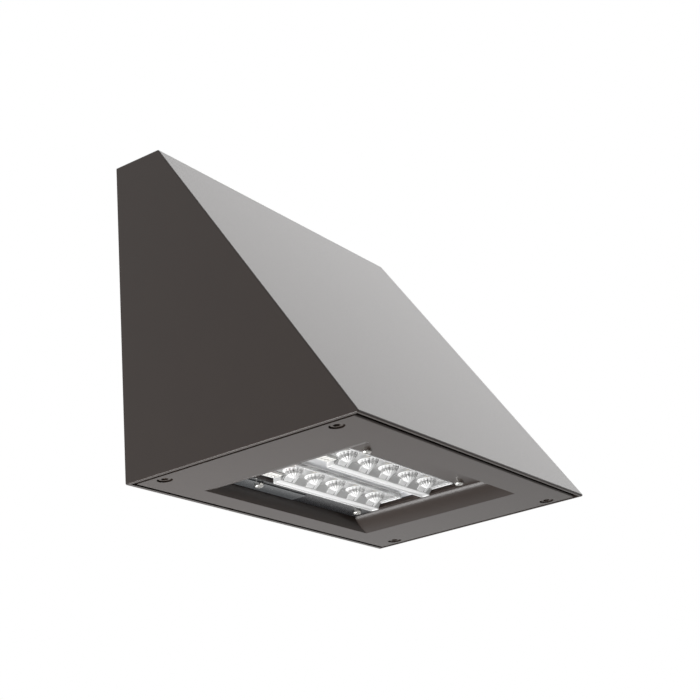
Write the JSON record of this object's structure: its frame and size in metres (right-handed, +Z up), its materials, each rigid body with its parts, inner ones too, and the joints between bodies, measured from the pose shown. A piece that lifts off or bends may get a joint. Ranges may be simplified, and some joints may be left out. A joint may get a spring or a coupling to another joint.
{
  "type": "wall pack light",
  "caption": "Wedge-shaped cast wall pack light: sloped front, hinged door facing down with a flared recess, clear LED lens strips, and driver gear inside.",
  "frame": {"origin": "centre of the wall plate's pad, on the wall", "axes": "+Y into the wall, -Y out of the wall, +Z up, +X to the right seen from the front"},
  "size_m": [0.406, 0.242, 0.312],
  "materials": {
    "bronze_paint": "die-cast aluminium under a satin dark bronze powder coat",
    "bronze_screw": "dark bronze coated steel",
    "black_coat": "semi-gloss black coat",
    "zinc_steel": "zinc-plated sheet steel",
    "stainless": "bright stainless steel",
    "aluminium": "natural extruded aluminium",
    "clear_acrylic": "clear moulded acrylic",
    "white_board": "white solder mask",
    "led_phosphor": "phosphor under clear silicone",
    "white_plastic": "moulded nylon",
    "black_plastic": "moulded black plastic",
    "rubber": "black silicone sponge and rubber",
    "brass": "plated brass",
    "red_wire": "PVC insulation",
    "black_wire": "PVC insulation",
    "green_wire": "green ground colour"
  },
  "bodies": {
    "housing": {"driver_case": "aluminium", "driver_end_caps": "black_plastic", "driver_input_leads": "black_wire", "driver_potting": "black_plastic", "driver_screws": "zinc_steel", "driver_tray": "zinc_steel", "gear_screws": "zinc_steel", "ground_lead": "green_wire", "ground_lug": "brass", "ground_screw": "green_wire", "hinge_pin_clips": "stainless", "hinge_pin_left": "stainless", "hinge_pin_right": "stainless", "housing": "bronze_paint", "module_lead": "black_plastic", "surge_leads": "black_wire", "surge_protector": "black_plastic", "terminal_block": "black_plastic", "terminal_screws": "brass", "wall_plate": "zinc_steel", "wall_plate_gasket": "rubber", "wall_plate_screws": "zinc_steel", "wire_bushing": "rubber"},
    "door": {"door_frame": "bronze_paint", "door_gasket": "rubber", "hinge_leaf_left": "zinc_steel", "hinge_leaf_right": "zinc_steel", "rear_door_screws": "bronze_screw", "heat_sink": "aluminium", "module_gasket": "rubber", "module_screws": "stainless", "trim_plate": "black_coat", "wire_cover": "black_coat", "lens_strip_back": "clear_acrylic", "lens_strip_front": "clear_acrylic", "lens_seal_back": "rubber", "lens_seal_front": "rubber", "led_board_back": "white_board", "led_board_front": "white_board", "led_chips_back": "led_phosphor", "led_chips_front": "led_phosphor", "board_connector_back": "white_plastic", "board_connector_front": "white_plastic", "board_leads_back": "red_wire", "board_leads_front": "red_wire", "connector_contacts": "brass", "module_socket": "black_plastic"},
    "captive_screw_left": {"captive_screw_left": "bronze_screw"},
    "captive_screw_right": {"captive_screw_right": "bronze_screw"}
  },
  "joints": [
    {"name": "door_hinge", "type": "hinge", "parent": "housing", "child": "door", "pos_m": [0, -0.0145, -0.1458], "axis": [1, 0, 0], "range_deg": [0, 90]},
    {"name": "captive_screw_left_travel", "type": "slide", "parent": "door", "child": "captive_screw_left", "axis": [0, 0, -1], "range_m": [0, 0.0065]},
    {"name": "captive_screw_right_travel", "type": "slide", "parent": "door", "child": "captive_screw_right", "axis": [0, 0, -1], "range_m": [0, 0.0065]}
  ]
}
